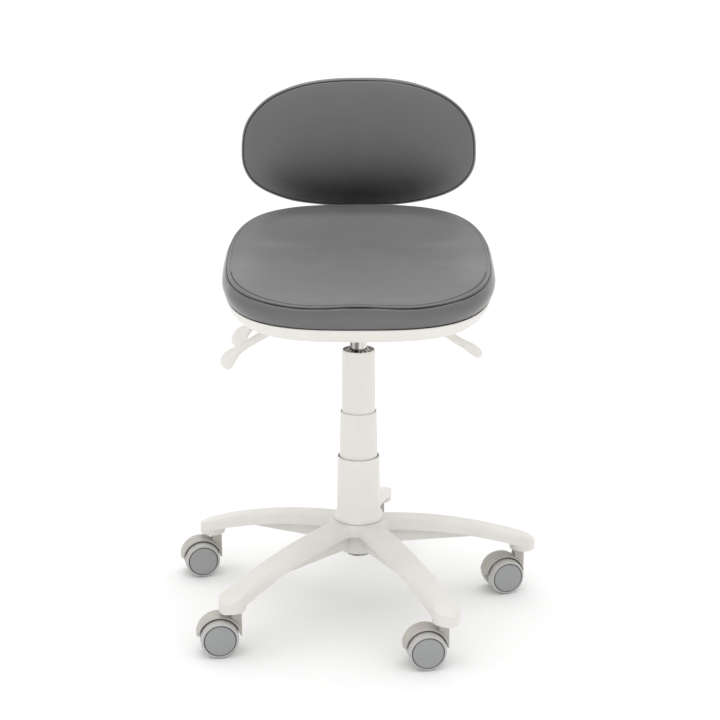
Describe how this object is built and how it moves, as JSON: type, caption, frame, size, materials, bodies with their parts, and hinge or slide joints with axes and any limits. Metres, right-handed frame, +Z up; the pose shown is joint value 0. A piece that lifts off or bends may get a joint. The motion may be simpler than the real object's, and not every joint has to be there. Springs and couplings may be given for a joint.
{
  "type": "dentist stool",
  "caption": "Swivelling gas-lift stool: upholstered tilting seat on a moulded pan, oval backrest on a sliding bar, telescopic column cover, star base with twin-wheel casters.",
  "frame": {"origin": "on the floor under the gas lift's axis", "axes": "+Z up, -Y towards the front of the seat, +X to the right seen from the front"},
  "size_m": [0.6153, 0.6341, 0.8439],
  "materials": {
    "white_base": "white enamelled die casting",
    "white_steel": "white enamelled steel",
    "white_plastic": "warm white moulding, satin",
    "grey_plastic": "beige-grey moulding",
    "wheel_grey": "soft light grey tread, mid grey caps",
    "dark_plastic": "dark moulding",
    "chrome": "chromed tube",
    "steel": "zinc plated",
    "black_steel": "black powder coat",
    "upholstery": "dark grey coated upholstery over foam",
    "plywood": "raw plywood",
    "rubber": "black"
  },
  "bodies": {
    "base": {"star_base": "white_base", "column_tube": "chrome", "column_bush": "dark_plastic", "thrust_bearing": "steel", "rubber_buffer": "rubber", "cover_lower": "white_plastic", "caster_stems": "steel"},
    "rod": {"piston_rod": "steel", "retaining_clip": "steel", "piston": "steel"},
    "cover_mid": {"cover_middle": "white_plastic"},
    "carriage": {"gas_cylinder": "chrome", "rod_guide": "dark_plastic", "cover_upper": "white_plastic", "cover_collar": "grey_plastic", "mechanism_housing": "white_steel", "seat_pivot_pin": "steel", "back_pivot_pin": "steel", "lever_pins": "steel", "clamp_plates": "steel"},
    "valve_button": {"release_button": "steel"},
    "height_lever": {"height_lever_bar": "steel", "height_lever_grip": "white_plastic"},
    "tilt_lever": {"tilt_lever_bar": "steel", "tilt_lever_grip": "white_plastic"},
    "recline_lever": {"recline_lever_bar": "steel", "recline_lever_grip": "white_plastic"},
    "tilt_lock": {"tilt_clamp": "steel"},
    "recline_lock": {"recline_clamp": "steel"},
    "seat": {"seat_plate": "black_steel", "seat_quadrant": "steel", "seat_pan": "white_plastic", "seat_board": "plywood", "seat_bolts": "steel", "seat_cushion": "upholstery"},
    "back_arm": {"back_bracket": "black_steel", "back_bar": "white_steel", "back_bolts": "steel"},
    "backrest": {"back_slider": "dark_plastic", "back_screws": "steel", "back_shell": "white_plastic", "back_board": "plywood", "back_cushion": "upholstery"},
    "knob": {"back_knob": "dark_plastic"},
    "caster_1": {"caster_frame_1": "grey_plastic"},
    "wheel_a_1": {"wheel_a_1": "wheel_grey"},
    "wheel_b_1": {"wheel_b_1": "wheel_grey"},
    "caster_2": {"caster_frame_2": "grey_plastic"},
    "wheel_a_2": {"wheel_a_2": "wheel_grey"},
    "wheel_b_2": {"wheel_b_2": "wheel_grey"},
    "caster_3": {"caster_frame_3": "grey_plastic"},
    "wheel_a_3": {"wheel_a_3": "wheel_grey"},
    "wheel_b_3": {"wheel_b_3": "wheel_grey"},
    "caster_4": {"caster_frame_4": "grey_plastic"},
    "wheel_a_4": {"wheel_a_4": "wheel_grey"},
    "wheel_b_4": {"wheel_b_4": "wheel_grey"},
    "caster_5": {"caster_frame_5": "grey_plastic"},
    "wheel_a_5": {"wheel_a_5": "wheel_grey"},
    "wheel_b_5": {"wheel_b_5": "wheel_grey"}
  },
  "joints": [
    {"name": "seat_swivel", "type": "hinge", "parent": "base", "child": "rod", "pos_m": [0, 0, 0], "axis": [0, 0, 1], "continuous": true},
    {"name": "seat_height", "type": "slide", "parent": "rod", "child": "carriage", "axis": [0, 0, 1], "range_m": [-0.118, 0.015]},
    {"name": "cover_slide", "type": "slide", "parent": "base", "child": "cover_mid", "axis": [0, 0, 1], "range_m": [-0.06, 0.0076]},
    {"name": "height_lever_lift", "type": "hinge", "parent": "carriage", "child": "height_lever", "pos_m": [0.038, 0, 0.4907], "axis": [0, -1, 0], "range_deg": [0, 4]},
    {"name": "valve_press", "type": "slide", "parent": "carriage", "child": "valve_button", "axis": [0, 0, 1], "range_m": [-0.003, 0]},
    {"name": "tilt_lever_lift", "type": "hinge", "parent": "carriage", "child": "tilt_lever", "pos_m": [-0.038, -0.01, 0.4907], "axis": [0, 1, 0], "range_deg": [0, 4]},
    {"name": "tilt_lock_turn", "type": "hinge", "parent": "carriage", "child": "tilt_lock", "pos_m": [0, 0.034, 0.495], "axis": [1, 0, 0], "range_deg": [0, 2.2]},
    {"name": "recline_lever_lift", "type": "hinge", "parent": "carriage", "child": "recline_lever", "pos_m": [-0.038, 0.088, 0.4907], "axis": [0, 1, 0], "range_deg": [0, 4]},
    {"name": "recline_lock_turn", "type": "hinge", "parent": "carriage", "child": "recline_lock", "pos_m": [0, 0.066, 0.487], "axis": [-1, 0, 0], "range_deg": [0, 4.8]},
    {"name": "seat_tilt", "type": "hinge", "parent": "carriage", "child": "seat", "pos_m": [0, -0.062, 0.495], "axis": [1, 0, 0], "range_deg": [-11, 1.5]},
    {"name": "back_recline", "type": "hinge", "parent": "carriage", "child": "back_arm", "pos_m": [0, 0.108, 0.487], "axis": [-1, 0, 0], "range_deg": [-4, 12]},
    {"name": "back_height", "type": "slide", "parent": "back_arm", "child": "backrest", "axis": [0, 0.0872, 0.9962], "range_m": [-0.04, 0.06]},
    {"name": "knob_turn", "type": "hinge", "parent": "backrest", "child": "knob", "pos_m": [0, 0.33667, 0.68277], "axis": [0, 0.9962, -0.0872], "range_deg": [0, 360]},
    {"name": "caster_swivel_1", "type": "hinge", "parent": "base", "child": "caster_1", "pos_m": [0.27262, 0.04905, 0.06], "axis": [0, 0, 1], "continuous": true},
    {"name": "wheel_a_spin_1", "type": "hinge", "parent": "caster_1", "child": "wheel_a_1", "pos_m": [0.24585, 0.04087, 0.03], "axis": [0.2924, -0.9563, 0], "continuous": true},
    {"name": "wheel_b_spin_1", "type": "hinge", "parent": "caster_1", "child": "wheel_b_1", "pos_m": [0.24585, 0.04087, 0.03], "axis": [0.2924, -0.9563, 0], "continuous": true},
    {"name": "caster_swivel_2", "type": "hinge", "parent": "base", "child": "caster_2", "pos_m": [0.03759, 0.27444, 0.06], "axis": [0, 0, 1], "continuous": true},
    {"name": "wheel_a_spin_2", "type": "hinge", "parent": "caster_2", "child": "wheel_a_2", "pos_m": [0.01021, 0.26862, 0.03], "axis": [0.2079, -0.9781, 0], "continuous": true},
    {"name": "wheel_b_spin_2", "type": "hinge", "parent": "caster_2", "child": "wheel_b_2", "pos_m": [0.01021, 0.26862, 0.03], "axis": [0.2079, -0.9781, 0], "continuous": true},
    {"name": "caster_swivel_3", "type": "hinge", "parent": "base", "child": "caster_3", "pos_m": [-0.24939, 0.12056, 0.06], "axis": [0, 0, 1], "continuous": true},
    {"name": "wheel_a_spin_3", "type": "hinge", "parent": "caster_3", "child": "wheel_a_3", "pos_m": [-0.27656, 0.11378, 0.03], "axis": [0.2419, -0.9703, 0], "continuous": true},
    {"name": "wheel_b_spin_3", "type": "hinge", "parent": "caster_3", "child": "wheel_b_3", "pos_m": [-0.27656, 0.11378, 0.03], "axis": [0.2419, -0.9703, 0], "continuous": true},
    {"name": "caster_swivel_4", "type": "hinge", "parent": "base", "child": "caster_4", "pos_m": [-0.19172, -0.19993, 0.06], "axis": [0, 0, 1], "continuous": true},
    {"name": "wheel_a_spin_4", "type": "hinge", "parent": "caster_4", "child": "wheel_a_4", "pos_m": [-0.2193, -0.20479, 0.03], "axis": [0.1736, -0.9848, 0], "continuous": true},
    {"name": "wheel_b_spin_4", "type": "hinge", "parent": "caster_4", "child": "wheel_b_4", "pos_m": [-0.2193, -0.20479, 0.03], "axis": [0.1736, -0.9848, 0], "continuous": true},
    {"name": "caster_swivel_5", "type": "hinge", "parent": "base", "child": "caster_5", "pos_m": [0.1309, -0.24412, 0.06], "axis": [0, 0, 1], "continuous": true},
    {"name": "wheel_a_spin_5", "type": "hinge", "parent": "caster_5", "child": "wheel_a_5", "pos_m": [0.10317, -0.24802, 0.03], "axis": [0.1392, -0.9903, 0], "continuous": true},
    {"name": "wheel_b_spin_5", "type": "hinge", "parent": "caster_5", "child": "wheel_b_5", "pos_m": [0.10317, -0.24802, 0.03], "axis": [0.1392, -0.9903, 0], "continuous": true}
  ],
  "couplings": [
    {"joint": "cover_slide", "follows": "seat_height", "ratio": 0.5},
    {"joint": "valve_press", "follows": "height_lever_lift", "m_per_rad": -0.0415},
    {"joint": "tilt_lock_turn", "follows": "tilt_lever_lift", "ratio": 0.5},
    {"joint": "recline_lock_turn", "follows": "recline_lever_lift", "ratio": 1.15}
  ]
}
